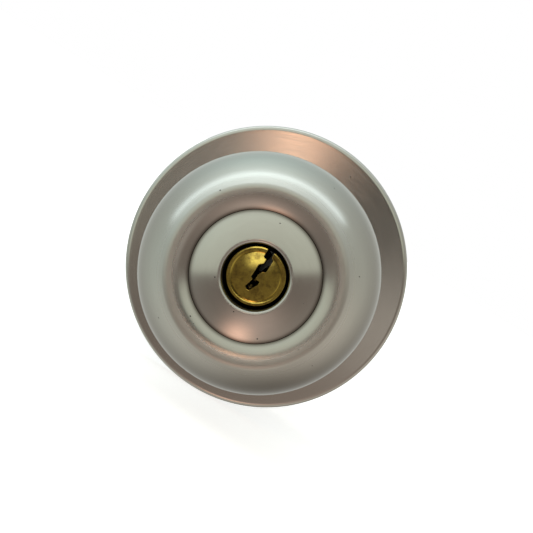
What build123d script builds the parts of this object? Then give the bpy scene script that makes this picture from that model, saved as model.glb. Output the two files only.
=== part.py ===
from build123d import *
import math
import os

os.makedirs("parts", exist_ok=True)

# Keyed-entry round door knob lockset, in millimetres. The lock's axis is Y. The outer,
# keyed side faces -Y, the inner side faces +Y, +Z is up and the door's edge is at +X.
# The origin is on the axis, in the middle of the door's thickness.

# ---------------------------------------------------------------- driving dimensions
DOOR_THICKNESS = 40.0
ROSE_DIAMETER = 66.0
KNOB_DIAMETER = 53.0
KNOB_MIDDLE = 39.5          # height of the ball's widest circle above the door face
PLUG_DIAMETER = 12.7        # head of the key cylinder's plug
BORE_DIAMETER = 14.2        # hole in the knob's face
SPINDLE_DIAMETER = 18.5
HUB_DIAMETER = 24.0
CHASSIS_DIAMETER = 43.0

RUNNING = 0.05              # radial clearance of a turning or sliding fit
FIXED = 0.02                # radial clearance of parts that are put together for good
CUT_OVER = 1.0              # how far a cut runs past the material it opens
SHEET = 1.2                 # wall of the spun sheet-metal shells

HALF_DOOR = DOOR_THICKNESS / 2
KNOB_R = KNOB_DIAMETER / 2
ROSE_R = ROSE_DIAMETER / 2
PLUG_HEAD_R = PLUG_DIAMETER / 2
BORE_R = BORE_DIAMETER / 2
SPINDLE_R = SPINDLE_DIAMETER / 2
SPINDLE_BORE_R = SPINDLE_R - 1.5
HUB_R = HUB_DIAMETER / 2
CHASSIS_R = CHASSIS_DIAMETER / 2

# Knob profile: a flank, a shoulder to the crest, a roll down to the crease, then the face
# ring's dome up to its rim and a small roll into the bore. The front half's flank is a
# little longer than a true ball's: its arc is centred beyond the axis.
SEAM_GAP = 0.2
FLANK_SHIFT = 3.5
SHOULDER_R = 4.5
CREST_R = 17.0
ROLL_R = 5.5
CREASE_R = 14.12
RING_GAP = 0.12
DOME_R = 34.0
RIM_ROLL_R = 1.2
NECK_R = 13.25
NECK_FOOT = 8.9
NECK_FILLET = 4.0
POKE_HOLE_R = 1.3

# Knob core
CORE_NECK_R = 12.0
CORE_R = 17.0
CORE_FOOT = 9.6
CORE_SHOULDER = (17.5, 25.0)
CORE_FLANGE_R = 25.0
CORE_FLANGE = (38.0, 41.0)
CORE_TOP = 54.0
CORE_BORE_R = 7.9
CORE_STEP = 52.0
RING_SLEEVE_FOOT = 52.1
SPINDLE_END = 22.0          # height of the spindle's end inside the knob

# Key cylinder, heights above the outer door face
BARREL_R = 7.8
BARREL = (24.0, 52.0)
PLUG_R = 6.0
PLUG_TAIL = 22.5
PLUG_FACE = 56.2
PLUG_HEAD_BACK = 52.3
DISH_R = 5.4
DISH_DEPTH = 0.3
CLIP_GROOVE = (23.05, 23.85)
CLIP_GROOVE_R = 5.4
CLIP_R = 7.2
BIBLE_HALF_WIDTH = 3.5
BIBLE_FOOT = -14.9
PIN_R = 1.45
CHAMBER_R = PIN_R + RUNNING
CHAMBER_FOOT = -14.0
CHAMBER_TOP = 1.2
BIBLE_CLEARANCE = 0.1
COVER_THICKNESS = 0.6
COVER_SIZE = (4.9, 23.9)    # width, and length along the axis
COVER_CLEARANCE = 0.05
FIRST_PIN = 47.8            # height of the first pin chamber above the door face
PIN_PITCH = 3.97
KEY_PIN_LENGTHS = (4.2, 5.3, 4.6, 6.0, 5.0)
KEY_PIN_FOOT = -5.8
DRIVER_TOP = -6.1
DRIVER_LENGTH = 5.0
KEY_PIN_TIP = 0.8           # chamfers of the pins
KEY_PIN_HEEL = 0.25
DRIVER_EDGE = 0.2
SPRING_GAP = 0.02
SPRING_WIRE_R = 0.16
SPRING_R = 1.1
SPRING_TURNS = 3.5
TAIL_DISC_R = 4.8
TAIL_BLADE = (1.5, 5.0)

# Keyway section: X across, Z towards its open side, which runs out of the plug's edge
KEYWAY = (
    (-0.8, 7.0), (-0.8, 4.4), (0.0, 4.1), (0.0, 3.1), (-0.8, 2.4), (-0.9, -0.5),
    (-0.3, -0.9), (-0.9, -2.9), (-0.3, -3.3), (0.3, -3.3), (1.3, -1.3), (1.3, -0.6),
    (0.2, -0.6), (0.2, 0.5), (0.6, 1.4), (1.4, 1.8), (1.4, 4.6), (0.8, 5.1), (0.8, 7.0),
)

# Roses and what clamps them to the door
ROSE_OUTLINE = ((ROSE_R, 0), (ROSE_R, 1.5), (ROSE_R - 0.9, 5.4), (19.5, 6.4),
                (17.2, 8.2), (14.0, 8.2))
ROSE_RADII = [3.0, 1.2, 4.0, 1.6]
PLATE_R = 31.0
PLATE_THICKNESS = 1.5
NUT_R = 15.2
NUT_HEIGHT = 3.0
POST_R = 2.5
POST_Z = 24.4
POST_END_Y = 4.0
SCREW_R = 1.6
SCREW_END_Y = -6.0
SCREW_HEAD_R = 3.6
SCREW_HEAD_HEIGHT = 1.6
SCREW_CROSS = (4.0, 0.9)    # length and width of the head's crossed slots
SCREW_SPARE = 2.0           # depth of thread left below the screw

# Chassis between the roses
CHASSIS_HALF_LENGTH = 13.0
DISC_THICKNESS = 1.6
COVER_WALL = 1.2
WINDOW_HALF = 8.0
BAR_HALF_WIDTH = 6.0
BAR_Z = (13.8, 17.5)
HUB_TIP = 8.2               # height of the fixed hub's tip above the door face
HUB_BORE_R = SPINDLE_R + 0.08
HUB_FLANGE_R = 14.5
HUB_FLANGE = (13.0, 15.0)
CAM_REACH = (3.2, 10.5)     # distance of the spindle's half-round cam from mid door

# Retractor, which the outer spindle's cam pushes towards -X
RETRACTOR_Y = 10.5
ARM_Z = (11.3, 13.3)
ARM_X = (-5.0, 14.8)
HOOK_X = 12.8
HOOK_Z = 5.2
HOOK_HALF_WIDTH = 2.6
WALL_FACE = -0.4
WALL_BACK = -8.3
WALL_BACK_Z = 7.8
WALL_END_Y = -3.0
TAIL_SLOT = (-4.5, 4.2)     # depth in X and half height of the tailpiece's slot
RETURN_SPRING_Z = 6.6
RETURN_SPRING_Y = -6.8
RETURN_SPRING_R = 1.7
RETURN_SPRING_WIRE_R = 0.3
RETURN_SPRING_TURNS = 6
RETURN_SPRING_X = (-17.9, -2.9)
RETURN_POCKET_R = 2.3

# Locking parts
BAR_RADIAL = (5.2, 7.2)
BAR_HALF_HEIGHT = 2.1
BAR_Y = (-10.9, -4.5)
WING_TIP = 10.7
WING_LENGTH = 2.0
WING_TRAVEL = 5.0
WING_CLEARANCE = 0.3
HUB_NOTCH = (4.8, 5.0)      # length along the axis and width
BUTTON_R = 5.95
BUTTON_EDGE_R = 1.5
BUTTON_FOOT = 48.0
BUTTON_TOP = 62.5
BUTTON_WELL = 42.0
BUTTON_SPRING_R = 4.2
BUTTON_SPRING_WIRE_R = 0.4
BUTTON_SPRING_TURNS = 3.5
ROD_R = 2.0
ROD_CLEARANCE = 0.5
PUSH_ARM_Y = (-4.2, -3.0)
TAILPIECE_END_Y = -9.3
CATCH_HEIGHT = 14.0
CATCH_HALF_LENGTH = 2.0
CATCH_HALF_WIDTH = 1.5
CATCH_Z = (-11.9, -6.2)
CATCH_FLANGE = (0.8, 2.6)   # thickness and half width
CATCH_CLEARANCE = 0.1
CATCH_SLOT_DEPTH = 10.0

# Sections through the axis: X is the radius, Y the height above that side's door face
OUTER = Plane(origin=(0, -HALF_DOOR, 0), x_dir=(1, 0, 0), z_dir=(0, 0, -1))
INNER = Plane(origin=(0, HALF_DOOR, 0), x_dir=(1, 0, 0), z_dir=(0, 0, 1))

# Worked-out points of the knob profile
SEAM_TURN = math.degrees(math.asin(SEAM_GAP / 2 / KNOB_R))
FLANK_R = KNOB_R + FLANK_SHIFT
SHOULDER_TURN = math.degrees(math.acos((CREST_R + FLANK_SHIFT) / (FLANK_R - SHOULDER_R)))
SHOULDER_Y = KNOB_MIDDLE + (FLANK_R - SHOULDER_R) * math.sin(math.radians(SHOULDER_TURN))
CREST_HEIGHT = SHOULDER_Y + SHOULDER_R
ROLL_TURN = math.degrees(math.asin((CREST_R - CREASE_R) / ROLL_R))
CREASE_HEIGHT = CREST_HEIGHT - ROLL_R * (1 - math.cos(math.radians(ROLL_TURN)))
RING_R = CREASE_R - RING_GAP
RIM_R = BORE_R + RIM_ROLL_R
RIM_LEAN = math.degrees(math.asin(RIM_R / (DOME_R - RIM_ROLL_R)))
DOME_EDGE = math.degrees(math.asin(RING_R / DOME_R))
DOME_Y = CREASE_HEIGHT - DOME_R * math.cos(math.radians(DOME_EDGE))
RIM_ROLL_Y = DOME_Y + (DOME_R - RIM_ROLL_R) * math.cos(math.radians(RIM_LEAN))


def across(y):
    """Plane square to the lock's axis at this Y: its X is X, its Y is Z, it faces -Y."""
    return Plane(origin=(0, y, 0), x_dir=(1, 0, 0), z_dir=(0, -1, 0))


def keep(piece, name):
    """Name a finished piece and write it to its own file."""
    piece.part.label = name
    export_step(piece.part, f"parts/{name}.step")


def catch_place(side):
    """Place in plan of the spring catch in this side's knob neck."""
    return (0, side.from_local_coords((0, CATCH_HEIGHT, 0)).Y)


def turned(side, *corners):
    """Solid turned about the axis from the corners of its half section."""
    with BuildPart() as body:
        with BuildSketch(side):
            with BuildLine():
                Polyline(*corners, close=True)
            make_face()
        revolve(axis=Axis.Y)
    return body


def coil(start, direction, length, radius, wire_r, turns):
    """Compression spring: a round wire along a helix from start, towards direction."""
    with BuildPart() as spring:
        with BuildLine() as path:
            Helix(length / turns, length, radius, center=start, direction=direction)
        with BuildSketch(Plane(origin=path.line @ 0, z_dir=path.line % 0)):
            Circle(wire_r)
        sweep(is_frenet=True)
    return spring


# ---------------------------------------------------------------- knob shells and rings
def knob_front_shell(side):
    """Front half of the knob, rolled over at the crest and ending at the crease."""
    with BuildPart() as shell:
        with BuildSketch(side):
            with BuildLine():
                CenterArc((-FLANK_SHIFT, KNOB_MIDDLE), FLANK_R, SEAM_TURN, SHOULDER_TURN - SEAM_TURN)
                CenterArc((CREST_R, SHOULDER_Y), SHOULDER_R, SHOULDER_TURN, 90 - SHOULDER_TURN)
                CenterArc((CREST_R, CREST_HEIGHT - ROLL_R), ROLL_R, 90, ROLL_TURN)
                offset(amount=SHEET, side=Side.LEFT)
            make_face()
        revolve(axis=Axis.Y)
    return shell


def knob_rear_shell(side):
    """Rear half of the ball with the neck, and the hole that a pin goes through to the catch."""
    reach = KNOB_R + NECK_FILLET
    fillet_x = NECK_R + NECK_FILLET
    drop = math.sqrt(reach ** 2 - fillet_x ** 2)
    turn = math.degrees(math.atan2(drop, fillet_x))
    fillet_y = KNOB_MIDDLE - drop
    with BuildPart() as shell:
        with BuildSketch(side):
            with BuildLine():
                Line((NECK_R, NECK_FOOT), (NECK_R, fillet_y))
                CenterArc((fillet_x, fillet_y), NECK_FILLET, 180, -turn)
                CenterArc((0, KNOB_MIDDLE), KNOB_R, -turn, turn - SEAM_TURN)
                offset(amount=SHEET, side=Side.LEFT)
            make_face()
        revolve(axis=Axis.Y)
        with BuildSketch(Plane.XY.offset(-NECK_R - CUT_OVER)):
            with Locations(catch_place(side)):
                Circle(POKE_HOLE_R)
        extrude(amount=SHEET + 2 * CUT_OVER, mode=Mode.SUBTRACT)
    return shell


def knob_face_ring(side):
    """Domed ring that fills the front shell's opening and lines the bore."""
    with BuildPart() as ring:
        with BuildSketch(side):
            with BuildLine():
                Polyline((RING_R, CREASE_HEIGHT), (RING_R, CORE_TOP), (BARREL_R, CORE_TOP),
                         (BARREL_R, RING_SLEEVE_FOOT), (BORE_R, RING_SLEEVE_FOOT),
                         (BORE_R, RIM_ROLL_Y))
                CenterArc((RIM_R, RIM_ROLL_Y), RIM_ROLL_R, 180, -90 - RIM_LEAN)
                CenterArc((0, DOME_Y), DOME_R, 90 - RIM_LEAN, RIM_LEAN - DOME_EDGE)
            make_face()
        revolve(axis=Axis.Y)
    return ring


def knob_core(side, bore):
    """Cast core of a knob: neck, shoulder, flange under the seam and the given bore."""
    return turned(
        side, (SPINDLE_R + FIXED, CORE_FOOT), (CORE_NECK_R, CORE_FOOT),
        (CORE_NECK_R, CORE_SHOULDER[0]), (CORE_R, CORE_SHOULDER[1]), (CORE_R, CORE_FLANGE[0]),
        (CORE_FLANGE_R, CORE_FLANGE[0]), (CORE_FLANGE_R, CORE_FLANGE[1]),
        (CORE_R, CORE_FLANGE[1]), (CORE_R, CORE_TOP), (CORE_BORE_R, CORE_TOP), *bore,
        (SPINDLE_R + FIXED, SPINDLE_END + RUNNING),
    )


def catch_slot(side):
    """The spring catch's slot: what is cut from the walls below the axis."""
    with BuildPart() as slot:
        with BuildSketch(Plane.XY.offset(-CORE_R)):
            with Locations(catch_place(side)):
                Rectangle(2 * (CATCH_HALF_WIDTH + CATCH_CLEARANCE),
                          2 * (CATCH_HALF_LENGTH + CATCH_CLEARANCE))
        extrude(amount=CATCH_SLOT_DEPTH)
    return slot.part


for side, name in ((OUTER, "outer"), (INNER, "inner")):
    keep(knob_front_shell(side), f"{name}_knob_front_shell")
    keep(knob_rear_shell(side), f"{name}_knob_rear_shell")
    keep(knob_face_ring(side), f"{name}_knob_face_ring")

    # Spring catch that holds the knob's neck on its spindle
    with BuildPart() as catch:
        with BuildSketch(Plane.XY.offset(CATCH_Z[0])):
            with Locations(catch_place(side)):
                Rectangle(2 * CATCH_HALF_WIDTH, 2 * CATCH_HALF_LENGTH)
        extrude(amount=CATCH_Z[1] - CATCH_Z[0])
        with BuildSketch(Plane.XY.offset(CATCH_Z[1] - CATCH_FLANGE[0])):
            with Locations(catch_place(side)):
                Rectangle(2 * CATCH_FLANGE[1], 2 * CATCH_HALF_LENGTH)
        extrude(amount=CATCH_FLANGE[0])
    keep(catch, f"{name}_knob_catch")

# ---------------------------------------------------------------- key cylinder
PIN_HEIGHTS = [FIRST_PIN - PIN_PITCH * i for i in range(len(KEY_PIN_LENGTHS))]
PIN_PLACES = [(0, OUTER.from_local_coords((0, height, 0)).Y) for height in PIN_HEIGHTS]


def at_height(height):
    """Y of a height above the outer door face."""
    return -HALF_DOOR - height


plain_core = knob_core(OUTER, ((CORE_BORE_R, SPINDLE_END + RUNNING),)).part
outer_catch_slot = catch_slot(OUTER)
inner_catch_slot = catch_slot(INNER)
with BuildPart() as outer_knob_core:
    add(plain_core)
    with BuildSketch(across(at_height(BARREL[0] - BIBLE_CLEARANCE))):
        with Locations((0, BIBLE_FOOT / 2)):
            Rectangle(2 * (BIBLE_HALF_WIDTH + BIBLE_CLEARANCE), -BIBLE_FOOT + 2 * BIBLE_CLEARANCE)
    extrude(amount=CORE_TOP - BARREL[0] + BIBLE_CLEARANCE, mode=Mode.SUBTRACT)
    add(outer_catch_slot, mode=Mode.SUBTRACT)
keep(outer_knob_core, "outer_knob_core")

with BuildPart() as cylinder_body:
    with BuildSketch(across(at_height(BARREL[0]))):
        Circle(BARREL_R)
        with Locations((0, BIBLE_FOOT / 2)):
            Rectangle(2 * BIBLE_HALF_WIDTH, -BIBLE_FOOT)
        Circle(PLUG_R + RUNNING, mode=Mode.SUBTRACT)
    extrude(amount=BARREL[1] - BARREL[0])
    with BuildSketch(Plane.XY.offset(CHAMBER_FOOT)):
        with Locations(*PIN_PLACES):
            Circle(CHAMBER_R)
    extrude(amount=-CHAMBER_FOOT - PLUG_R + CUT_OVER, mode=Mode.SUBTRACT)
    with BuildSketch(Plane.XY.offset(BIBLE_FOOT)):
        with Locations(PIN_PLACES[len(PIN_PLACES) // 2]):
            Rectangle(*[size + 2 * COVER_CLEARANCE for size in COVER_SIZE])
    extrude(amount=CHAMBER_FOOT - BIBLE_FOOT, mode=Mode.SUBTRACT)
keep(cylinder_body, "cylinder_body")

with BuildPart() as pin_chamber_cover:
    with BuildSketch(Plane.XY.offset(CHAMBER_FOOT - COVER_THICKNESS)):
        with Locations(PIN_PLACES[len(PIN_PLACES) // 2]):
            Rectangle(*COVER_SIZE)
    extrude(amount=COVER_THICKNESS)
keep(pin_chamber_cover, "pin_chamber_cover")

plain_plug = turned(
    OUTER, (0, PLUG_TAIL), (PLUG_R, PLUG_TAIL), (PLUG_R, CLIP_GROOVE[0]),
    (CLIP_GROOVE_R, CLIP_GROOVE[0]), (CLIP_GROOVE_R, CLIP_GROOVE[1]), (PLUG_R, CLIP_GROOVE[1]),
    (PLUG_R, PLUG_HEAD_BACK), (PLUG_HEAD_R, PLUG_HEAD_BACK), (PLUG_HEAD_R, PLUG_FACE),
    (DISH_R, PLUG_FACE), (0, PLUG_FACE - DISH_DEPTH),
).part
with BuildPart() as cylinder_plug:
    add(plain_plug)
    with BuildSketch(across(at_height(PLUG_TAIL))):
        with BuildLine():
            Polyline(*KEYWAY, close=True)
        make_face()
    extrude(amount=PLUG_FACE - PLUG_TAIL, mode=Mode.SUBTRACT)
    with BuildSketch(Plane.XY.offset(-PLUG_R)):
        with Locations(*PIN_PLACES):
            Circle(CHAMBER_R)
    extrude(amount=PLUG_R + CHAMBER_TOP, mode=Mode.SUBTRACT)
keep(cylinder_plug, "cylinder_plug")

with BuildPart() as plug_retaining_clip:
    with BuildSketch(across(at_height(CLIP_GROOVE[0]))):
        Circle(CLIP_R)
        Circle(CLIP_GROOVE_R, mode=Mode.SUBTRACT)
        with Locations((0, CLIP_R)):
            Rectangle(CLIP_GROOVE_R, 2 * CLIP_R, mode=Mode.SUBTRACT)
    extrude(amount=CLIP_GROOVE[1] - CLIP_GROOVE[0])
keep(plug_retaining_clip, "plug_retaining_clip")

# The tailpiece turns with the plug: a disc on the plug's tail and a flat blade
with BuildPart() as tailpiece:
    with BuildSketch(across(at_height(PLUG_TAIL) + SHEET)):
        Circle(TAIL_DISC_R)
    extrude(amount=SHEET)
    with BuildSketch(across(TAILPIECE_END_Y)):
        Rectangle(*TAIL_BLADE)
    extrude(amount=TAILPIECE_END_Y - at_height(PLUG_TAIL) - SHEET)
keep(tailpiece, "tailpiece")

for number, ((x, y), length) in enumerate(zip(PIN_PLACES, KEY_PIN_LENGTHS), start=1):
    with BuildPart() as key_pin:
        with BuildSketch(Plane.XY.offset(KEY_PIN_FOOT)):
            with Locations((x, y)):
                Circle(PIN_R)
        extrude(amount=length)
        ends = key_pin.edges().filter_by(GeomType.CIRCLE).sort_by(Axis.Z)
        chamfer(ends[-1], length=KEY_PIN_TIP)
        chamfer(ends[0], length=KEY_PIN_HEEL)
    keep(key_pin, f"key_pin_{number}")

    with BuildPart() as driver_pin:
        with BuildSketch(Plane.XY.offset(DRIVER_TOP - DRIVER_LENGTH)):
            with Locations((x, y)):
                Circle(PIN_R)
        extrude(amount=DRIVER_LENGTH)
        chamfer(driver_pin.edges().filter_by(GeomType.CIRCLE), length=DRIVER_EDGE)
    keep(driver_pin, f"driver_pin_{number}")

    spring_foot = CHAMBER_FOOT + SPRING_WIRE_R + SPRING_GAP
    spring_top = DRIVER_TOP - DRIVER_LENGTH - SPRING_WIRE_R - SPRING_GAP
    pin_spring = coil((x, y, spring_foot), (0, 0, 1), spring_top - spring_foot, SPRING_R,
                      SPRING_WIRE_R, SPRING_TURNS)
    keep(pin_spring, f"pin_spring_{number}")

# ---------------------------------------------------------------- spindles and locking parts
def spindle():
    """Tube from the outer knob to the chassis, half cut away where it works the retractor."""
    root = SPINDLE_END + HALF_DOOR
    with BuildPart() as tube:
        with BuildSketch(across(-CAM_REACH[0])):
            Circle(SPINDLE_R)
            Circle(SPINDLE_BORE_R, mode=Mode.SUBTRACT)
        extrude(amount=root - CAM_REACH[0])
        with BuildSketch(across(-CAM_REACH[0])):
            with Locations((-SPINDLE_R, 0)):
                Rectangle(2 * SPINDLE_R, 2 * SPINDLE_R + CUT_OVER)
        extrude(amount=CAM_REACH[1] - CAM_REACH[0], mode=Mode.SUBTRACT)
        add(outer_catch_slot, mode=Mode.SUBTRACT)
    return tube.part


plain_spindle = spindle()
with BuildPart() as outer_spindle:
    add(plain_spindle)
    with BuildSketch(across(BAR_Y[0] + WING_LENGTH + WING_CLEARANCE)):
        with Locations((SPINDLE_R, 0)):
            Rectangle(2 * (SPINDLE_R - BAR_RADIAL[1]), 2 * (BAR_HALF_HEIGHT + WING_CLEARANCE))
    extrude(amount=WING_LENGTH + WING_TRAVEL + 2 * WING_CLEARANCE, mode=Mode.SUBTRACT)
keep(outer_spindle, "outer_spindle")

with BuildPart() as inner_spindle:
    mirror(plain_spindle, about=Plane.XZ)
keep(inner_spindle, "inner_spindle")

# The locking bar slides in the outer spindle; its wing drops into the fixed hub's notch
with BuildPart() as locking_bar:
    with BuildSketch(across(BAR_Y[1])):
        with Locations((sum(BAR_RADIAL) / 2, 0)):
            Rectangle(BAR_RADIAL[1] - BAR_RADIAL[0], 2 * BAR_HALF_HEIGHT)
    extrude(amount=BAR_Y[1] - BAR_Y[0])
    with BuildSketch(across(BAR_Y[0] + WING_LENGTH)):
        with Locations(((BAR_RADIAL[0] + WING_TIP) / 2, 0)):
            Rectangle(WING_TIP - BAR_RADIAL[0], 2 * BAR_HALF_HEIGHT)
    extrude(amount=WING_LENGTH)
keep(locking_bar, "locking_bar")

button_core = knob_core(INNER, (
    (CORE_BORE_R, CORE_STEP), (BUTTON_R + RUNNING, CORE_STEP),
    (BUTTON_R + RUNNING, BUTTON_WELL), (ROD_R + ROD_CLEARANCE, BUTTON_WELL),
    (ROD_R + ROD_CLEARANCE, SPINDLE_END + RUNNING))).part
with BuildPart() as inner_knob_core:
    add(button_core)
    add(inner_catch_slot, mode=Mode.SUBTRACT)
keep(inner_knob_core, "inner_knob_core")

with BuildPart() as lock_button:
    with BuildSketch(across(HALF_DOOR + BUTTON_TOP)):
        Circle(BUTTON_R)
    extrude(amount=BUTTON_TOP - BUTTON_FOOT)
    rim = lock_button.edges().filter_by(GeomType.CIRCLE).sort_by(Axis.Y)[-1]
    fillet(rim, radius=BUTTON_EDGE_R)
keep(lock_button, "lock_button")

with BuildPart() as lock_button_rod:
    with BuildSketch(across(HALF_DOOR + BUTTON_FOOT)):
        Circle(ROD_R)
    extrude(amount=HALF_DOOR + BUTTON_FOOT - PUSH_ARM_Y[0])
    with BuildSketch(across(PUSH_ARM_Y[1])):
        with Locations((BAR_RADIAL[1] / 2, 0)):
            Rectangle(BAR_RADIAL[1], 2 * BAR_HALF_HEIGHT)
    extrude(amount=PUSH_ARM_Y[1] - PUSH_ARM_Y[0])
keep(lock_button_rod, "lock_button_rod")

spring_end = BUTTON_SPRING_WIRE_R + RUNNING
button_spring = coil((0, HALF_DOOR + BUTTON_WELL + spring_end, 0), (0, 1, 0),
                     BUTTON_FOOT - BUTTON_WELL - 2 * spring_end, BUTTON_SPRING_R,
                     BUTTON_SPRING_WIRE_R, BUTTON_SPRING_TURNS)
keep(button_spring, "button_spring")

# ---------------------------------------------------------------- roses and clamping plates
for side, name in ((OUTER, "outer"), (INNER, "inner")):
    with BuildPart() as rose:
        with BuildSketch(side):
            with BuildLine():
                FilletPolyline(*ROSE_OUTLINE, radius=ROSE_RADII)
                offset(amount=SHEET, side=Side.LEFT)
            make_face()
        revolve(axis=Axis.Y)
    keep(rose, f"{name}_rose")

    plain_hub = turned(
        side, (HUB_BORE_R, HUB_TIP), (HUB_R, HUB_TIP), (HUB_R, HUB_FLANGE[1] - HALF_DOOR),
        (HUB_FLANGE_R, HUB_FLANGE[1] - HALF_DOOR), (HUB_FLANGE_R, HUB_FLANGE[0] - HALF_DOOR),
        (HUB_R, HUB_FLANGE[0] - HALF_DOOR),
        (HUB_R, CHASSIS_HALF_LENGTH - DISC_THICKNESS - HALF_DOOR),
        (HUB_BORE_R, CHASSIS_HALF_LENGTH - DISC_THICKNESS - HALF_DOOR)).part
    with BuildPart() as hub:
        add(plain_hub)
        if name == "outer":
            with BuildSketch(across(-CHASSIS_HALF_LENGTH + DISC_THICKNESS)):
                with Locations((HUB_R, 0)):
                    Rectangle(HUB_R, HUB_NOTCH[1])
            extrude(amount=HUB_NOTCH[0], mode=Mode.SUBTRACT)
    keep(hub, f"{name}_hub")

    nut_top = PLATE_THICKNESS + NUT_HEIGHT
    nut = turned(side, (HUB_R + FIXED, PLATE_THICKNESS), (NUT_R, PLATE_THICKNESS),
                 (NUT_R, nut_top), (HUB_R + FIXED, nut_top))
    keep(nut, f"{name}_hub_nut")

# Outer plate with two posts through the door, which the mounting screws thread into
plate_section = ((HUB_R + RUNNING, 0), (PLATE_R, 0),
                 (PLATE_R, PLATE_THICKNESS), (HUB_R + RUNNING, PLATE_THICKNESS))
plain_outer_plate = turned(OUTER, *plate_section).part
plain_inner_plate = turned(INNER, *plate_section).part
POSTS = ((0, POST_Z), (0, -POST_Z))
with BuildPart() as outer_rose_plate:
    add(plain_outer_plate)
    with BuildSketch(across(POST_END_Y)):
        with Locations(*POSTS):
            Circle(POST_R)
    extrude(amount=POST_END_Y + HALF_DOOR)
    with BuildSketch(across(POST_END_Y)):
        with Locations(*POSTS):
            Circle(SCREW_R + RUNNING)
    extrude(amount=POST_END_Y - SCREW_END_Y + SCREW_SPARE, mode=Mode.SUBTRACT)
keep(outer_rose_plate, "outer_rose_plate")

with BuildPart() as inner_mounting_plate:
    add(plain_inner_plate)
    with BuildSketch(across(HALF_DOOR + PLATE_THICKNESS)):
        with Locations(*POSTS):
            Circle(SCREW_R + RUNNING)
    extrude(amount=PLATE_THICKNESS, mode=Mode.SUBTRACT)
keep(inner_mounting_plate, "inner_mounting_plate")

with BuildPart() as mounting_screws:
    with BuildSketch(across(HALF_DOOR + PLATE_THICKNESS)):
        with Locations(*POSTS):
            Circle(SCREW_R)
    extrude(amount=HALF_DOOR + PLATE_THICKNESS - SCREW_END_Y)
    with BuildSketch(across(HALF_DOOR + PLATE_THICKNESS + SCREW_HEAD_HEIGHT)):
        with Locations(*POSTS):
            Circle(SCREW_HEAD_R)
    extrude(amount=SCREW_HEAD_HEIGHT)
    with BuildSketch(across(HALF_DOOR + PLATE_THICKNESS + SCREW_HEAD_HEIGHT)):
        with Locations(*POSTS):
            Rectangle(*SCREW_CROSS)
            Rectangle(*SCREW_CROSS[::-1])
    extrude(amount=SCREW_HEAD_HEIGHT / 2, mode=Mode.SUBTRACT)
keep(mounting_screws, "mounting_screws")

# ---------------------------------------------------------------- chassis and retractor
with BuildPart() as chassis_frame:
    for near_y in (CHASSIS_HALF_LENGTH, -CHASSIS_HALF_LENGTH + DISC_THICKNESS):
        with BuildSketch(across(near_y)):
            Circle(CHASSIS_R - COVER_WALL)
            Circle(HUB_R + FIXED, mode=Mode.SUBTRACT)
        extrude(amount=DISC_THICKNESS)
    with BuildSketch(across(CHASSIS_HALF_LENGTH - DISC_THICKNESS)):
        with Locations((0, sum(BAR_Z) / 2), (0, -sum(BAR_Z) / 2)):
            Rectangle(2 * BAR_HALF_WIDTH, BAR_Z[1] - BAR_Z[0])
    extrude(amount=2 * (CHASSIS_HALF_LENGTH - DISC_THICKNESS))
keep(chassis_frame, "chassis_frame")

with BuildPart() as chassis_cover:
    with BuildSketch(across(CHASSIS_HALF_LENGTH)):
        Circle(CHASSIS_R)
        Circle(CHASSIS_R - COVER_WALL, mode=Mode.SUBTRACT)
    extrude(amount=2 * CHASSIS_HALF_LENGTH)
    with BuildSketch(Plane.YZ):
        Rectangle(2 * WINDOW_HALF, 2 * WINDOW_HALF)
    extrude(amount=CHASSIS_R + CUT_OVER, mode=Mode.SUBTRACT)
keep(chassis_cover, "chassis_cover")

with BuildPart() as retractor:
    with BuildSketch(across(RETRACTOR_Y)):
        for z in (sum(ARM_Z) / 2, -sum(ARM_Z) / 2):
            with Locations((sum(ARM_X) / 2, z)):
                Rectangle(ARM_X[1] - ARM_X[0], ARM_Z[1] - ARM_Z[0])
    extrude(amount=2 * RETRACTOR_Y)
    with BuildSketch(across(HOOK_HALF_WIDTH)):
        for z in (HOOK_Z + ARM_Z[1], -HOOK_Z - ARM_Z[1]):
            with Locations(((HOOK_X + ARM_X[1]) / 2, z / 2)):
                Rectangle(ARM_X[1] - HOOK_X, ARM_Z[1] - HOOK_Z)
    extrude(amount=2 * HOOK_HALF_WIDTH)
    with BuildSketch(across(WALL_END_Y)):
        with BuildLine():
            Polyline((WALL_FACE, ARM_Z[1]), (ARM_X[0], ARM_Z[1]), (WALL_BACK, WALL_BACK_Z),
                     (WALL_BACK, -WALL_BACK_Z), (ARM_X[0], -ARM_Z[1]), (WALL_FACE, -ARM_Z[1]),
                     close=True)
        make_face()
        with Locations((TAIL_SLOT[0] / 2, 0)):
            Rectangle(-TAIL_SLOT[0], 2 * TAIL_SLOT[1], mode=Mode.SUBTRACT)
    extrude(amount=RETRACTOR_Y + WALL_END_Y)
    with BuildSketch(Plane.YZ.offset(WALL_BACK)):
        with Locations((RETURN_SPRING_Y, RETURN_SPRING_Z), (RETURN_SPRING_Y, -RETURN_SPRING_Z)):
            Circle(RETURN_POCKET_R)
    extrude(amount=RETURN_SPRING_X[1] - WALL_BACK + RETURN_SPRING_WIRE_R, mode=Mode.SUBTRACT)
keep(retractor, "retractor")

for z, name in ((RETURN_SPRING_Z, "upper"), (-RETURN_SPRING_Z, "lower")):
    start = (RETURN_SPRING_X[0] + RETURN_SPRING_WIRE_R, RETURN_SPRING_Y, z)
    length = RETURN_SPRING_X[1] - RETURN_SPRING_X[0] - 2 * RETURN_SPRING_WIRE_R
    return_spring = coil(start, (1, 0, 0), length, RETURN_SPRING_R, RETURN_SPRING_WIRE_R,
                         RETURN_SPRING_TURNS)
    keep(return_spring, f"{name}_return_spring")
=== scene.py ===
"""Looks of a keyed-entry door knob lockset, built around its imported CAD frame, in metres."""
import math

import bmesh
import bpy
from mathutils import Matrix, Vector


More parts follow.
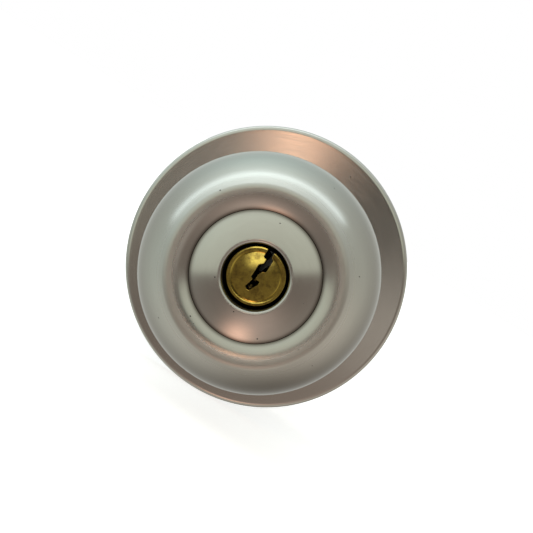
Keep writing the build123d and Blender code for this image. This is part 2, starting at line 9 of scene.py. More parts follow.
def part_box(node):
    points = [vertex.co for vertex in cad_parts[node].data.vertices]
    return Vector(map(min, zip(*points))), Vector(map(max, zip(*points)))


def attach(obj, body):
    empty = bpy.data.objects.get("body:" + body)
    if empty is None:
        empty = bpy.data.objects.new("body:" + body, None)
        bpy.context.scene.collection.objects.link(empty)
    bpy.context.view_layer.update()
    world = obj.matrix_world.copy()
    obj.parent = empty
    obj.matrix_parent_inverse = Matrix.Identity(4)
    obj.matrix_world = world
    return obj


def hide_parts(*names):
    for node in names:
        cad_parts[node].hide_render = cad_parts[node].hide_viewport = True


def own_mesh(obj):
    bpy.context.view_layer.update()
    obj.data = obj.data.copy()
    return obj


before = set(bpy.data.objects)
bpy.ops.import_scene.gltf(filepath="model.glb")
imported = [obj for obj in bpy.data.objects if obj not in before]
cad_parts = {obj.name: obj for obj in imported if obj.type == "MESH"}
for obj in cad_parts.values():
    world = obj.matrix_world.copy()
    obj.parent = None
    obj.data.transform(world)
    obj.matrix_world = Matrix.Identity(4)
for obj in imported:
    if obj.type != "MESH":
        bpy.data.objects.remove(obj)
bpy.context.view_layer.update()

MM = 0.001

# ---------------------------------------------------------------- sizes taken from the frame
ROSE_LOW, ROSE_HIGH = (Vector(corner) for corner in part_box("outer_rose"))
KNOB_HIGH = Vector(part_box("outer_knob_front_shell")[1])
RING_HIGH = Vector(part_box("outer_knob_face_ring")[1])
REAR_HIGH = Vector(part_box("outer_knob_rear_shell")[1])
PLUG_LOW, PLUG_HIGH = (Vector(corner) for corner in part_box("cylinder_plug"))
BUTTON_LOW, BUTTON_HIGH = (Vector(corner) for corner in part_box("lock_button"))

HALF_DOOR = -ROSE_HIGH.y
ROSE_R = ROSE_HIGH.x
KNOB_R = KNOB_HIGH.x
SEAM_GAP = 0.2 * MM
KNOB_MIDDLE = -KNOB_HIGH.y - HALF_DOOR - SEAM_GAP / 2
RING_R = RING_HIGH.x
NECK_FOOT = -REAR_HIGH.y - HALF_DOOR
PLUG_R = PLUG_HIGH.x
PLUG_FACE = -PLUG_LOW.y - HALF_DOOR
PLUG_TAIL = -PLUG_HIGH.y - HALF_DOOR
BUTTON_R = BUTTON_HIGH.x
BUTTON_TOP = BUTTON_HIGH.y - HALF_DOOR
BUTTON_FOOT = BUTTON_LOW.y - HALF_DOOR

# Knob: wall, front half's flank, shoulder, crest and roll to the crease, and rear half's neck
WALL = 1.2 * MM
FLANK_SHIFT = 3.5 * MM
SHOULDER_R = 1.7 * MM
CREST_R = 18.4 * MM
ROLL_R = 10.5 * MM
CREASE_R = RING_R + 0.12 * MM
NECK_R = 13.25 * MM
NECK_FILLET = 4 * MM

# Face ring: dome, rounded rim and bore, and its foot's height above the door
DOME_R = 34 * MM
RIM_ROLL_R = 0.7 * MM
BORE_R = 7.1 * MM
RING_FOOT = 54 * MM

# Hole in the rear half, through which the catch is pressed, by its height above the door
POKE_HOLE_R = 1.3 * MM
CATCH_HEIGHT = 14 * MM

# Key plug: shank, head, clip groove (two heights and a radius) and the crown of its face
PLUG_SHANK_R = 6 * MM
PLUG_HEAD_BACK = 52.3 * MM
PLUG_GROOVE = (23.05 * MM, 23.85 * MM, 5.4 * MM)
CROWN_R = 5.2 * MM
CROWN_RISE = 0.13 * MM

# Pin chambers in the plug, and the keyway's section, as X across and Z towards its open side
CHAMBER_R = 1.5 * MM
CHAMBER_TOP = 1.2 * MM
FIRST_PIN = 47.8 * MM
PIN_PITCH = 3.97 * MM
PINS = 5
KEYWAY_MM = (
    (-0.8, 7.0), (-0.8, 4.4), (0.0, 4.1), (0.0, 3.1), (-0.8, 2.4), (-0.9, -0.5),
    (-0.3, -0.9), (-0.9, -2.9), (-0.3, -3.3), (0.3, -3.3), (1.3, -1.3), (1.3, -0.6),
    (0.2, -0.6), (0.2, 0.5), (0.6, 1.4), (1.4, 1.8), (1.4, 4.6), (0.8, 5.1), (0.8, 7.0),
)
KEYWAY_EASE = 0.05 * MM

# Painted shade, black, in the deep gap round the plug: how far it reaches past the bore and over the
# plug's face, and what it leaves bare
BARREL_SHADE_HEIGHT = 51.7 * MM
SHADE_REACH = 0.05 * MM
SHADE_RISE = 4 * MM
PLUG_SKIN = 0.01 * MM
PLUG_UNSHADED_EDGE = 0.1 * MM

# Springs: node, body, axis of the coil, wire's radius, turns, joint that squashes it and its travel
SPRINGS = (
    ("upper_return_spring", "lock_frame", (1, 0, 0), 0.3 * MM, 6, "retractor_slide", 9.96 * MM),
    ("lower_return_spring", "lock_frame", (1, 0, 0), 0.3 * MM, 6, "retractor_slide", 9.96 * MM),
    ("button_spring", "inner_knob", (0, 1, 0), 0.4 * MM, 3, "button_press", 4.5 * MM),
)

OUTER, INNER = -1, 1
SIDE_NAMES = {OUTER: "outer", INNER: "inner"}
TURN_STEPS = 256
ON_AXIS = 1e-7
CUTTER_MARGIN = 1 * MM
SHARP_ANGLE = math.radians(35)
EASED_ANGLE = math.radians(40)
BUMP_DEPTH = 0.01 * MM


# ---------------------------------------------------------------- mesh helpers
def arc(centre, radius, start, end, steps):
    """Points of an arc in a section, angles in radians from the radial direction."""
    angles = [start + (end - start) * i / steps for i in range(steps + 1)]
    return [(centre[0] + radius * math.cos(a), centre[1] + radius * math.sin(a)) for a in angles]


def new_object(name, bm):
    """Mesh object from a bmesh, smooth shaded, with its sharp edges kept."""
    bmesh.ops.recalc_face_normals(bm, faces=bm.faces)
    mesh = bpy.data.meshes.new(name)
    bm.to_mesh(mesh)
    bm.free()
    for face in mesh.polygons:
        face.use_smooth = True
    mesh.set_sharp_from_angle(angle=SHARP_ANGLE)
    obj = bpy.data.objects.new(name, mesh)
    bpy.context.scene.collection.objects.link(obj)
    return obj


def lathe(name, side, section):
    """Solid turned about the Y axis from a closed section of (radius, height above door)."""
    bm = bmesh.new()
    turn = [2 * math.pi * i / TURN_STEPS for i in range(TURN_STEPS)]
    rings = []
    for radius, height in section:
        y = side * (HALF_DOOR + height)
        if radius < ON_AXIS:
            rings.append([bm.verts.new((0, y, 0))] * TURN_STEPS)
        else:
            rings.append([bm.verts.new((radius * math.cos(a), y, radius * math.sin(a))) for a in turn])
    for ring, following in zip(rings, rings[1:] + rings[:1]):
        for i in range(TURN_STEPS):
            j = (i + 1) % TURN_STEPS
            corners = []
            for vert in (ring[i], ring[j], following[j], following[i]):
                if vert not in corners:
                    corners.append(vert)
            if len(corners) > 2:
                bm.faces.new(corners)
    return new_object(name, bm)


def offset_back(points, wall):
    """The same line moved to its left by the wall, in reverse order."""
    moved = []
    for i, point in enumerate(points):
        before = Vector(points[max(i - 1, 0)])
        after = Vector(points[min(i + 1, len(points) - 1)])
        along = (after - before).normalized()
        moved.append((point[0] - along.y * wall, point[1] + along.x * wall))
    return moved[::-1]


def replace_node(piece, node, body):
    """Let a piece stand for a CAD node and ride on its body."""
    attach(piece, body)
    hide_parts(node)


def prism(name, outline, low, high):
    """Straight bar along Y between two places, with the given (X, Z) outline."""
    bm = bmesh.new()
    ends = [[bm.verts.new((x, y, z)) for x, z in outline] for y in (low, high)]
    for end in ends:
        bm.faces.new(end)
    for i in range(len(outline)):
        j = (i + 1) % len(outline)
        bm.faces.new((ends[0][i], ends[0][j], ends[1][j], ends[1][i]))
    return new_object(name, bm)


def drill(name, y, low, high, radius):
    """Round bar along Z between two heights, on the plane X = 0 at the given Y."""
    bm = bmesh.new()
    bmesh.ops.create_cone(bm, cap_ends=True, segments=48, radius1=radius, radius2=radius,
                          depth=high - low)
    bmesh.ops.translate(bm, verts=bm.verts, vec=(0, y, (low + high) / 2))
    return new_object(name, bm)


def cut(piece, tools, bevel=0.0):
    """Take the tools' shapes out of the piece, ease the new edges and delete the tools."""
    for tool in tools:
        change = piece.modifiers.new("cut", "BOOLEAN")
        change.object = tool
        change.operation = "DIFFERENCE"
        change.solver = "EXACT"
        change.material_mode = "TRANSFER"
    if bevel:
        ease = piece.modifiers.new("ease", "BEVEL")
        ease.width = bevel
        ease.segments = 2
        ease.limit_method = "ANGLE"
        ease.angle_limit = EASED_ANGLE
    depsgraph = bpy.context.evaluated_depsgraph_get()
    mesh = bpy.data.meshes.new_from_object(piece.evaluated_get(depsgraph))
    piece.modifiers.clear()
    piece.data = mesh
    mesh.set_sharp_from_angle(angle=SHARP_ANGLE)
    for tool in tools:
        bpy.data.objects.remove(tool)


def coil(name, low, high, axis, wire_r, turns):
    """Compression spring that fills the box between two corners, wound about an axis."""
    along = Vector(axis)
    main = axis.index(1)
    first, second = (i for i in range(3) if i != main)
    radius = (high[first] - low[first]) / 2 - wire_r
    start, end = low[main] + wire_r, high[main] - wire_r
    steps, sides = 32 * turns, 12
    bm = bmesh.new()
    rings = []
    for i in range(steps + 1):
        angle = 2 * math.pi * turns * i / steps
        outwards = Vector()
        outwards[first], outwards[second] = math.cos(angle), math.sin(angle)
        centre = (low + high) / 2 + radius * outwards
        centre[main] = start + (end - start) * i / steps
        ring = []
        for j in range(sides):
            turn = 2 * math.pi * j / sides
            wire = math.cos(turn) * outwards + math.sin(turn) * along
            ring.append(bm.verts.new(centre + wire_r * wire))
        rings.append(ring)
    for ring, following in zip(rings, rings[1:]):
        for j in range(sides):
            k = (j + 1) % sides
            bm.faces.new((ring[j], ring[k], following[k], following[j]))
    bm.faces.new(rings[0])
    bm.faces.new(rings[-1])
    return new_object(name, bm)


# ---------------------------------------------------------------- sections of the spun parts
def front_shell_section():
    """Front half of the knob: flank, shoulder, roll down to the crease, and the wall behind."""
    seam = math.asin(SEAM_GAP / 2 / KNOB_R)
    flank_r = KNOB_R + FLANK_SHIFT
    shoulder_turn = math.acos((CREST_R + FLANK_SHIFT) / (flank_r - SHOULDER_R))
    shoulder_y = KNOB_MIDDLE + (flank_r - SHOULDER_R) * math.sin(shoulder_turn)
    roll_turn = math.asin((CREST_R - CREASE_R) / ROLL_R)
    roll_y = shoulder_y + SHOULDER_R - ROLL_R
    outside = arc((-FLANK_SHIFT, KNOB_MIDDLE), flank_r, seam, shoulder_turn, 48)
    outside += arc((CREST_R, shoulder_y), SHOULDER_R, shoulder_turn, math.pi / 2, 24)[1:]
    outside += arc((CREST_R, roll_y), ROLL_R, math.pi / 2, math.pi / 2 + roll_turn, 16)[1:]
    return outside + offset_back(outside, WALL), outside[-1][1]


def rear_shell_section():
    """Rear half of the knob: neck, fillet and ball, and the wall behind."""
    reach = KNOB_R + NECK_FILLET
    fillet_x = NECK_R + NECK_FILLET
    drop = math.sqrt(reach ** 2 - fillet_x ** 2)
    turn = math.atan2(drop, fillet_x)
    seam = math.asin(SEAM_GAP / 2 / KNOB_R)
    outside = [(NECK_R, NECK_FOOT + (KNOB_MIDDLE - drop - NECK_FOOT) * i / 6) for i in range(6)]
    outside += arc((fillet_x, KNOB_MIDDLE - drop), NECK_FILLET, math.pi, math.pi - turn, 16)
    outside += arc((0, KNOB_MIDDLE), KNOB_R, -turn, -seam, 56)[1:]
    return outside + offset_back(outside, WALL)


def face_ring_section(crease_height):
    """Domed ring with a rounded rim into the bore, down to its foot on the knob's core."""
    rim_r = BORE_R + RIM_ROLL_R
    rim_lean = math.asin(rim_r / (DOME_R - RIM_ROLL_R))
    edge = math.asin(RING_R / DOME_R)
    dome_y = crease_height - DOME_R * math.cos(edge)
    roll_y = dome_y + (DOME_R - RIM_ROLL_R) * math.cos(rim_lean)
    dome = arc((0, dome_y), DOME_R, math.pi / 2 - edge, math.pi / 2 - rim_lean, 32)
    lip = arc((rim_r, roll_y), RIM_ROLL_R, math.pi / 2 - rim_lean, math.pi, 16)[1:]
    return dome + lip + [(BORE_R, RING_FOOT), (RING_R, RING_FOOT)]


def rose_section():
    """Round cover: rim wall, rounded crest, gently rising face, and the collar at the neck."""
    height = ROSE_HIGH.y - ROSE_LOW.y
    crest_x, crest_y, crest_r = ROSE_R - 1.2 * MM, 4.3 * MM, 1.1 * MM
    rim_lean, face_lean = math.radians(5), math.radians(4.5)
    valley_x = 19.5 * MM
    collar_x, collar_r = 16.4 * MM, 1.6 * MM
    outside = [(ROSE_R, 0), (ROSE_R, 0.6 * MM)]
    outside += arc((crest_x, crest_y), crest_r, rim_lean, math.pi / 2 - face_lean, 24)
    edge_x, edge_y = outside[-1]
    for i in range(1, 17):
        x = edge_x + (valley_x - edge_x) * i / 16
        outside.append((x, edge_y + (edge_x - x) * math.tan(face_lean)))
    foot = outside[-1]
    end = (collar_x + collar_r, height - collar_r)
    handles = ((foot[0] - 1.2 * MM, foot[1] + 0.1 * MM), (end[0], end[1] - 0.6 * MM))
    for i in range(1, 13):
        t = i / 12
        weights = ((1 - t) ** 3, 3 * t * (1 - t) ** 2, 3 * t ** 2 * (1 - t), t ** 3)
        outside.append(tuple(sum(w * q[axis] for w, q in zip(weights, (foot, *handles, end)))
                             for axis in (0, 1)))
    outside += arc((collar_x, height - collar_r), collar_r, 0, math.pi / 2, 8)[1:]
    outside.append((14 * MM, height))
    return outside + offset_back(outside, WALL)


def plug_section():
    """Key plug: tail, clip groove, shank and head with an eased edge ring round a slight crown."""
    edge = 0.12 * MM
    groove_low, groove_high, groove_r = PLUG_GROOVE
    crown_ball = (CROWN_R ** 2 + CROWN_RISE ** 2) / (2 * CROWN_RISE)
    crown_turn = math.asin(CROWN_R / crown_ball)
    crown = arc((0, PLUG_FACE - crown_ball), crown_ball,
                math.pi / 2 - crown_turn, math.pi / 2, 24)
    ring = PLUG_FACE - CROWN_RISE + 0.03 * MM
    return [
        (0, PLUG_TAIL), (PLUG_SHANK_R, PLUG_TAIL), (PLUG_SHANK_R, groove_low), (groove_r, groove_low),
        (groove_r, groove_high), (PLUG_SHANK_R, groove_high), (PLUG_SHANK_R, PLUG_HEAD_BACK),
        (PLUG_R, PLUG_HEAD_BACK), *arc((PLUG_R - edge, ring - edge), edge, 0, math.pi / 2, 5),
        (CROWN_R + 0.08 * MM, ring), (CROWN_R + 0.04 * MM, ring - 0.07 * MM),
        *crown[:-1], (0, PLUG_FACE),
    ]


def button_section():
    """Push button: straight side, rounded edge, flat rim and a finger dish in the top."""
    edge, rim_width, dish_depth = 1.5 * MM, 0.3 * MM, 0.4 * MM
    dish_r = BUTTON_R - edge - rim_width
    ball = (dish_r ** 2 + dish_depth ** 2) / (2 * dish_depth)
    turn = math.asin(dish_r / ball)
    dish = arc((0, BUTTON_TOP - dish_depth + ball), ball, turn - math.pi / 2, -math.pi / 2, 20)
    return [(0, BUTTON_FOOT), (BUTTON_R, BUTTON_FOOT),
            *arc((BUTTON_R - edge, BUTTON_TOP - edge), edge, 0, math.pi / 2, 16),
            *dish[:-1], (0, BUTTON_TOP - dish_depth)]


# ---------------------------------------------------------------- pieces
pieces = {}
front_shell, crease_height = front_shell_section()
for side, label in SIDE_NAMES.items():
    for node, section, body in (
        ("knob_front_shell", front_shell, f"{label}_knob"),
        ("knob_rear_shell", rear_shell_section(), f"{label}_knob"),
        ("knob_face_ring", face_ring_section(crease_height), f"{label}_knob"),
        ("rose", rose_section(), "lock_frame"),
    ):
        name = f"{label}_{node}"
        pieces[name] = lathe(f"{name}_skin", side, section)
        replace_node(pieces[name], name, body)
    hole = drill("poke_hole", side * (HALF_DOOR + CATCH_HEIGHT), -NECK_R - CUTTER_MARGIN,
                 -NECK_R + 2 * WALL, POKE_HOLE_R)
    cut(pieces[f"{label}_knob_rear_shell"], [hole])

plug = lathe("cylinder_plug_turned", OUTER, plug_section())
replace_node(plug, "cylinder_plug", "plug")
pieces["cylinder_plug"] = plug
button = lathe("lock_button_turned", INNER, button_section())
replace_node(button, "lock_button", "lock_button")
pieces["lock_button"] = button

for node, body, axis, wire_r, turns, joint, travel in SPRINGS:
    low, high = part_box(node)
    spring = coil(f"{node}_coil", Vector(low), Vector(high), axis, wire_r, turns)
    replace_node(spring, node, body)
    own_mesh(spring)
    pieces[node] = spring

# ---------------------------------------------------------------- camera and floor
# The photograph's upright leans against the lock's own: the lock is turned in the picture
LEAN = math.radians(31.7)
IMAGE_UP = Vector((-math.sin(LEAN), 0, math.cos(LEAN)))
IMAGE_RIGHT = Vector((math.cos(LEAN), 0, math.sin(LEAN)))
TOWARDS_CAMERA = Vector((0, -1, 0))
VIEW_DISTANCE = 509 * MM
VIEW_TILT = math.radians(3.14)
VIEW_TURN = math.radians(47)
LENS_MM = 146.4
TARGET_HEIGHT = 1.5 * MM
FLOOR_SIZE = 3

target = Vector((0, -HALF_DOOR - TARGET_HEIGHT, 0))
sideways = math.sin(VIEW_TURN) * IMAGE_RIGHT + math.cos(VIEW_TURN) * IMAGE_UP
back = math.cos(VIEW_TILT) * TOWARDS_CAMERA + math.sin(VIEW_TILT) * sideways
camera_up = (IMAGE_UP - IMAGE_UP.dot(back) * back).normalized()
camera_right = camera_up.cross(back)
camera_data = bpy.data.cameras.new("camera")
camera_data.lens = LENS_MM
camera_data.clip_end = 10
camera = bpy.data.objects.new("camera", camera_data)
placing = Matrix((camera_right, camera_up, back)).transposed().to_4x4()
placing.translation = target + VIEW_DISTANCE * back
camera.matrix_world = placing
bpy.context.scene.collection.objects.link(camera)
bpy.context.scene.camera = camera
bpy.context.scene.view_settings.view_transform = "Standard"

bm = bmesh.new()
bmesh.ops.create_grid(bm, x_segments=1, y_segments=1, size=FLOOR_SIZE)
bmesh.ops.translate(bm, verts=bm.verts, vec=(0, 0, ROSE_LOW.z))
floor = new_object("floor", bm)
floor.visible_glossy = False


class Shader:
    """Short forms for making and joining nodes in one node tree."""

    def __init__(self, tree):
        self.tree = tree

    def node(self, kind, inputs=None, **settings):
        made = self.tree.nodes.new(kind)
        for name, value in settings.items():
            setattr(made, name, value)
        for name, value in (inputs or {}).items():
            self.put(value, made.inputs[name])
        return made

    def put(self, value, socket):
        if isinstance(value, bpy.types.NodeSocket):
            self.tree.links.new(value, socket)
        else:
            socket.default_value = value

    def math(self, operation, *values):
        made = self.node("ShaderNodeMath", operation=operation)
        for value, socket in zip(values, made.inputs):
            self.put(value, socket)
        return made.outputs[0]

    def vector(self, operation, *values, scale=None):
        made = self.node("ShaderNodeVectorMath", operation=operation)
        for value, socket in zip(values, made.inputs):
            self.put(value, socket)
        if scale is not None:
            self.put(scale, made.inputs["Scale"])
        return made.outputs["Value" if operation in ("DOT_PRODUCT", "LENGTH") else "Vector"]

    def step(self, value, low, high):
        """Smooth step from 0 at low to 1 at high."""
        made = self.node("ShaderNodeMapRange", {"Value": value, "From Min": low, "From Max": high},
                         interpolation_type="SMOOTHSTEP")
        return made.outputs["Result"]

    def bell(self, value, middle, width):
        """Bell curve of height 1 round a middle value."""
        off = self.math("DIVIDE", self.math("SUBTRACT", value, middle), width)
        return self.math("EXPONENT", self.math("MULTIPLY", self.math("MULTIPLY", off, off), -1.0))

    def patch(self, *edges):
        """Area within soft edges, each given as a value, where it starts and where it is full."""
        amount = 1.0
        for value, start, full in edges:
            amount = self.math("MULTIPLY", amount, self.step(value, start, full))
        return amount

    def mix(self, factor, first, second):
        """Colour between two linear colours by a factor."""
        made = self.node("ShaderNodeMix", {"Factor": factor}, data_type="RGBA")
        for name, colour in (("A", first), ("B", second)):
            constant = isinstance(colour, tuple)
            self.put((*colour, 1) if constant else colour, made.inputs[name])
        return made.outputs["Result"]

    def noise(self, place, scale, detail, roughness=0.5):
        """Noise from 0 to 1 at a place, with its scale in cycles per metre."""
        return self.node("ShaderNodeTexNoise", {"Vector": place, "Scale": scale, "Detail": detail,
                                                "Roughness": roughness}).outputs["Fac"]

    def object_place(self):
        return self.node("ShaderNodeTexCoord").outputs["Object"]

    def axis_radius(self, place):
        """Distance from the lock's axis, and the same place laid flat along it."""
        flat = self.vector("MULTIPLY", place, (1, 0, 1))
        return self.vector("LENGTH", flat), flat


def new_material(name, **values):
    """Principled material with the given constant socket values."""
    material = bpy.data.materials.new(name)
    material.use_nodes = True
    principled = material.node_tree.nodes["Principled BSDF"]
    for socket, value in values.items():
        principled.inputs[socket.replace("_", " ")].default_value = value
    return material, Shader(material.node_tree), principled


def roughen(s, principled, strength, height):
    """Bump the surface by a height from 0 to 1, which stands for BUMP_DEPTH."""
    bump = s.node("ShaderNodeBump", {"Strength": strength, "Distance": BUMP_DEPTH, "Height": height})
    s.put(bump.outputs["Normal"], principled.inputs["Normal"])


floor.data.materials.append(new_material(
    "floor_paint", Base_Color=(0.9, 0.9, 0.9, 1), Roughness=0.9,
    Emission_Color=(1, 1, 1, 1), Emission_Strength=0.7)[0])


# ---------------------------------------------------------------- light
def towards(turn, opening):
    """Direction at a clockwise turn from the picture's upright and an opening off the view axis."""
    turn, opening = math.radians(turn), math.radians(opening)
    return (math.sin(opening) * math.sin(turn) * IMAGE_RIGHT
            + math.sin(opening) * math.cos(turn) * IMAGE_UP
            + math.cos(opening) * TOWARDS_CAMERA)


# Soft patches of the room: turn, opening, sharpness, colour. Many of the colours began as a fit to
# the photograph's by a scratch program, and all were then rounded and changed by hand. A negative
# colour takes light away, in place of something dark before the lock.
GLOWS = {
    "ceiling": (0, 100, 3.5, (0.66, 0.74, 0.71)),
    "ceiling_left": (310, 80, 6, (0.20, 0.28, 0.27)),
    "ceiling_right": (50, 88, 7, (0.17, 0.21, 0.20)),
    "behind_up": (0, 140, 8, (0.05, 0.14, 0.15)),
    "left_wall": (270, 115, 5, (0.18, 0.23, 0.21)),
    "right_wall": (90, 115, 5, (0.15, 0.18, 0.16)),
    "low_left": (225, 100, 5, (0.32, 0.33, 0.30)),
    "low_right": (135, 95, 5, (0.35, 0.34, 0.30)),
    "low_middle": (180, 82, 12, (0.22, 0.22, 0.19)),
    "low_dark": (180, 135, 8, (-0.10, -0.09, -0.08)),
    "low_front": (183, 36, 20, (0.27, 0.21, 0.18)),
    "warm_lamp": (200, 49, 90, (1.00, 0.58, 0.42)),
    "backdrop": (0, 180, 12, (0.42, 0.45, 0.44)),
    "near_lamp": (5, 11, 1200, (4.00, 2.30, 1.50)),
    "near_low": (130, 13, 200, (0.33, 0.32, 0.29)),
    "near_shade": (58, 11, 60, (-0.13, -0.107, -0.09)),
}
ROOM = (0.145, 0.118, 0.099)
FRONT_WALL = (0.33, 0.37, 0.31)
WINDOW = (1.35, 1.35, 1.25)
# Ceiling strip lights: opening off the view axis, cosine of the half turn at each end, colour
STRIPS = ((92, 0.86, (0.80, 0.92, 0.97)), (112, 0.51, (0.80, 0.93, 0.98)))
STRIP_WIDTH = math.radians(3.5)
STRIP_FADE = 0.08


def studio_light():
    """World of soft directional glows; the camera itself sees plain white behind the object."""
    world = bpy.data.worlds.new("studio")
    bpy.context.scene.world = world
    world.use_nodes = True
    s = Shader(world.node_tree)
    direction = s.node("ShaderNodeTexCoord").outputs["Generated"]
    up = s.vector("DOT_PRODUCT", direction, IMAGE_UP)
    right = s.vector("DOT_PRODUCT", direction, IMAGE_RIGHT)
    front = s.vector("DOT_PRODUCT", direction, TOWARDS_CAMERA)
    wall = s.patch((up, -0.05, 0.05), (front, 0.25, 0.75), (front, 0.962, 0.94))
    window = s.patch((up, 0.0, 0.012), (front, 0.99, 0.9925), (right, -0.085, -0.07),
                     (right, 0.04, 0.015))
    lights = [(FRONT_WALL, wall), (WINDOW, window)]
    for turn, opening, sharpness, colour in GLOWS.values():
        aim = s.vector("DOT_PRODUCT", direction, towards(turn, opening))
        lights.append((colour, s.math("EXPONENT", s.math("MULTIPLY_ADD", aim, sharpness, -sharpness))))
    angle = s.math("ARCCOSINE", front)
    across = s.math("SQRT", s.math("SUBTRACT", 1.0001, s.math("MULTIPLY", front, front)))
    upright = s.math("DIVIDE", up, across)
    for opening, end, colour in STRIPS:
        band = s.bell(angle, math.radians(opening), STRIP_WIDTH)
        ends = s.step(upright, end - STRIP_FADE, end + STRIP_FADE)
        lights.append((colour, s.math("MULTIPLY", band, ends)))
    total = ROOM
    for colour, amount in lights:
        total = s.vector("ADD", total, s.vector("SCALE", colour, scale=amount))
    seen = s.node("ShaderNodeLightPath").outputs["Is Camera Ray"]
    s.put(s.mix(seen, total, (1, 1, 1)), world.node_tree.nodes["Background"].inputs["Color"])


studio_light()


# ---------------------------------------------------------------- materials
def satin_nickel():
    """Nickel brushed in circles about the lock's axis, with a few dark pits and painted shade along
    the crease.
    """
    material, s, principled = new_material("satin_nickel", Metallic=1.0)
    place = s.object_place()
    radius, flat = s.axis_radius(place)
    parts = s.node("ShaderNodeSeparateXYZ", {"Vector": place})
    around = s.node("ShaderNodeSeparateXYZ", {"Vector": s.vector("NORMALIZE", flat)})
    profile = s.math("ADD", radius, s.math("MULTIPLY", parts.outputs["Y"], 0.7))

    def streaks(across, along, detail):
        """Noise drawn out along the brushing: cycles per metre across it, per turn along it."""
        lines = s.node("ShaderNodeCombineXYZ", {
            "X": s.math("MULTIPLY", profile, across),
            "Y": s.math("MULTIPLY", around.outputs["X"], along),
            "Z": s.math("MULTIPLY", around.outputs["Z"], along)})
        return s.noise(lines.outputs[0], 1.0, detail, 0.6)

    fine = streaks(4500, 6, 3)
    coarse = streaks(900, 3, 2)
    cloud = s.noise(place, 90.0, 3.0)
    shade = s.math("ADD", s.math("MULTIPLY", coarse, 0.12), s.math("MULTIPLY", cloud, 0.12))

    cells = s.node("ShaderNodeTexVoronoi", {"Vector": place, "Scale": 700.0, "Randomness": 1.0})
    chosen = s.node("ShaderNodeSeparateColor", {"Color": cells.outputs["Color"]})
    rare = s.math("GREATER_THAN", chosen.outputs["Red"], 0.9)
    size = s.math("MULTIPLY_ADD", chosen.outputs["Green"], 0.08, 0.05)
    pit = s.math("MULTIPLY", rare, s.math("LESS_THAN", cells.outputs["Distance"], size))

    past_middle = s.math("SUBTRACT", s.math("ABSOLUTE", parts.outputs["Y"]), HALF_DOOR + KNOB_MIDDLE)
    on_front = s.step(past_middle, 10 * MM, 15 * MM)
    # Painted shade: the nickel is darker along the crease round the face ring.
    crease_shade = s.math("MULTIPLY", s.bell(radius, (RING_R + CREASE_R) / 2, 0.55 * MM), on_front)
    worn = s.math("MULTIPLY", s.bell(radius, CREST_R + 0.6 * MM, 1.5 * MM), on_front)

    colour = s.mix(shade, (0.78, 0.76, 0.72), (0.40, 0.36, 0.31))
    colour = s.mix(s.math("MULTIPLY", pit, 0.8), colour, (0.05, 0.045, 0.04))
    # painted shade darkens the colour along the crease
    colour = s.mix(s.math("MULTIPLY", crease_shade, 0.85), colour, (0.10, 0.075, 0.055))
    s.put(colour, principled.inputs["Base Color"])
    roughness = s.math("MULTIPLY_ADD", worn, 0.26, s.math("MULTIPLY_ADD", fine, 0.10, 0.13))
    s.put(s.math("MULTIPLY_ADD", pit, 0.4, roughness), principled.inputs["Roughness"])
    roughen(s, principled, 0.25, s.math("SUBTRACT", fine, s.math("MULTIPLY", pit, 3.0)))
    return material


def painted_shade_material():
    """Dull black that paints the shade in the recess around the plug and in the keyway, with faint
    dust specks.
    """
    material, s, principled = new_material("painted_shade_black", Metallic=0.0)
    dust = s.noise(s.object_place(), 1500.0, 3.0)
    s.put(s.mix(dust, (0.004, 0.004, 0.004), (0.02, 0.017, 0.013)), principled.inputs["Base Color"])
    s.put(s.math("MULTIPLY_ADD", dust, 0.3, 0.5), principled.inputs["Roughness"])
    return material


def machined_metal(name, bright, dull, smooth, rough, grain, shade_height=None):
    """Metal with blotches of a duller colour, uneven polish and a fine grain.

    Above the given height over the outer door face it is painted black, as shade deep in the gap round
    the plug.
    """
    material, s, principled = new_material(name, Metallic=1.0)
    place = s.object_place()
    blotch = s.noise(place, 160.0, 4.0, 0.6)
    fine = s.noise(place, grain, 3.0, 0.65)
    colour = s.mix(s.step(blotch, 0.35, 0.75), bright, dull)
    polish = s.math("MULTIPLY_ADD", fine, rough - smooth, smooth)
    if shade_height:
        parts = s.node("ShaderNodeSeparateXYZ", {"Vector": place})
        height = s.math("MULTIPLY_ADD", parts.outputs["Y"], -1.0, -HALF_DOOR)
        # Painted shade: black above the height, where the barrel's front lies deep in the gap.
        black = s.step(height, shade_height - 0.5 * MM, shade_height)
        colour = s.mix(black, colour, (0.006, 0.005, 0.004))
        polish = s.math("MULTIPLY_ADD", black, 0.5, polish)
    s.put(colour, principled.inputs["Base Color"])
    s.put(polish, principled.inputs["Roughness"])
    roughen(s, principled, 0.15, fine)
    return material


def turned_brass():
    """Plug's brass: turning rings on its face, brown stains and dark specks."""
    material, s, principled = new_material("turned_brass", Metallic=1.0)
    place = s.object_place()
    radius, _ = s.axis_radius(place)
    wander = s.noise(place, 300.0, 3.0)
    ring_place = s.node("ShaderNodeCombineXYZ", {"X": s.math("MULTIPLY", radius, 9000.0),
                                                 "Y": s.math("MULTIPLY", wander, 2.0)})
    rings = s.noise(ring_place.outputs[0], 1.0, 2.0)
    stain = s.noise(place, 420.0, 6.0, 0.65)
    specks = s.noise(place, 2600.0, 2.0)
    colour = s.mix(s.step(stain, 0.42, 0.66), (0.66, 0.51, 0.11), (0.36, 0.26, 0.06))
    colour = s.mix(s.step(specks, 0.66, 0.74), colour, (0.05, 0.035, 0.012))
    s.put(colour, principled.inputs["Base Color"])
    s.put(s.math("MULTIPLY_ADD", stain, 0.10, 0.04), principled.inputs["Roughness"])
    roughen(s, principled, 0.2, s.math("ADD", s.math("MULTIPLY", rings, 0.6),
                                       s.math("MULTIPLY", stain, 0.8)))
    return material


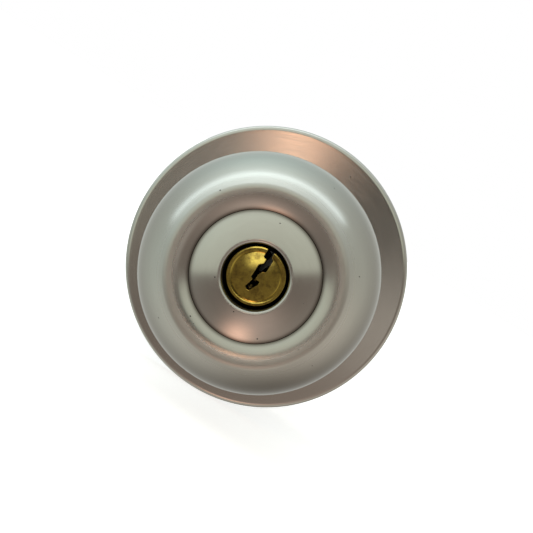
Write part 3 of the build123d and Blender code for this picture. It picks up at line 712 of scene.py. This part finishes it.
nickel = satin_nickel()
shade_paint = painted_shade_material()
brass = turned_brass()
cast_zinc = machined_metal("die_cast_zinc", (0.52, 0.53, 0.55), (0.36, 0.37, 0.39), 0.42, 0.62, 900.0)
plated_steel = machined_metal("zinc_plated_steel", (0.66, 0.67, 0.66), (0.52, 0.52, 0.46), 0.22, 0.42,
                              1500.0)
pin_brass = machined_metal("pin_brass", (0.52, 0.38, 0.12), (0.30, 0.20, 0.06), 0.20, 0.40, 2500.0)
spring_steel = machined_metal("spring_steel", (0.50, 0.50, 0.52), (0.34, 0.33, 0.33), 0.20, 0.38,
                              3000.0)
barrel_brass = machined_metal("barrel_brass", (0.62, 0.46, 0.17), (0.40, 0.28, 0.09), 0.24, 0.45,
                              1800.0, shade_height=BARREL_SHADE_HEIGHT)

FINISHES = {
    nickel: ("knob_front_shell", "knob_rear_shell", "knob_face_ring", "outer_rose", "inner_rose",
             "lock_button"),
    cast_zinc: ("knob_core",),
    brass: ("cylinder_plug",),
    barrel_brass: ("cylinder_body", "pin_chamber_cover"),
    pin_brass: ("key_pin", "driver_pin"),
    spring_steel: ("pin_spring", "return_spring", "button_spring"),
}
for name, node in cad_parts.items():
    finish = plated_steel
    for material, words in FINISHES.items():
        if any(word in name for word in words) and not name.endswith(("rod", "plate")):
            finish = material
    node.data.materials.clear()
    node.data.materials.append(finish)
for name, piece in pieces.items():
    piece.data.materials.clear()
    piece.data.materials.append(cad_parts[name].data.materials[0])


# ---------------------------------------------------------------- keyway and painted shade in the recess
def paint_shade_on(piece, low, high, top):
    """Painted shade: black on the faces between two radii, up to a height above the door face."""
    index = piece.data.materials.find(shade_paint.name)
    if index < 0:
        index = len(piece.data.materials)
        piece.data.materials.append(shade_paint)
    for face in piece.data.polygons:
        reach = Vector((face.center.x, face.center.z)).length
        if low < reach < high and abs(face.center.y) - HALF_DOOR < top:
            face.material_index = index


keyway = prism("keyway_tool", [(x * MM, z * MM) for x, z in KEYWAY_MM],
               -HALF_DOOR - PLUG_FACE - CUTTER_MARGIN, -HALF_DOOR - PLUG_TAIL + CUTTER_MARGIN)
# The keyway's walls take the black of painted shade.
keyway.data.materials.append(shade_paint)
chambers = [drill(f"chamber_tool_{i}", -HALF_DOOR - FIRST_PIN + PIN_PITCH * i,
                  -PLUG_SHANK_R - CUTTER_MARGIN, CHAMBER_TOP, CHAMBER_R) for i in range(PINS)]
cut(plug, [keyway, *chambers], bevel=KEYWAY_EASE)

# Painted shade: black in the face rings' bores and on the plug's side within the gap.
for label in SIDE_NAMES.values():
    paint_shade_on(pieces[f"{label}_knob_face_ring"], 0, BORE_R + SHADE_REACH, PLUG_FACE + SHADE_RISE)
paint_shade_on(plug, PLUG_R - PLUG_SKIN, PLUG_R + PLUG_SKIN, PLUG_FACE - CROWN_RISE - PLUG_UNSHADED_EDGE)
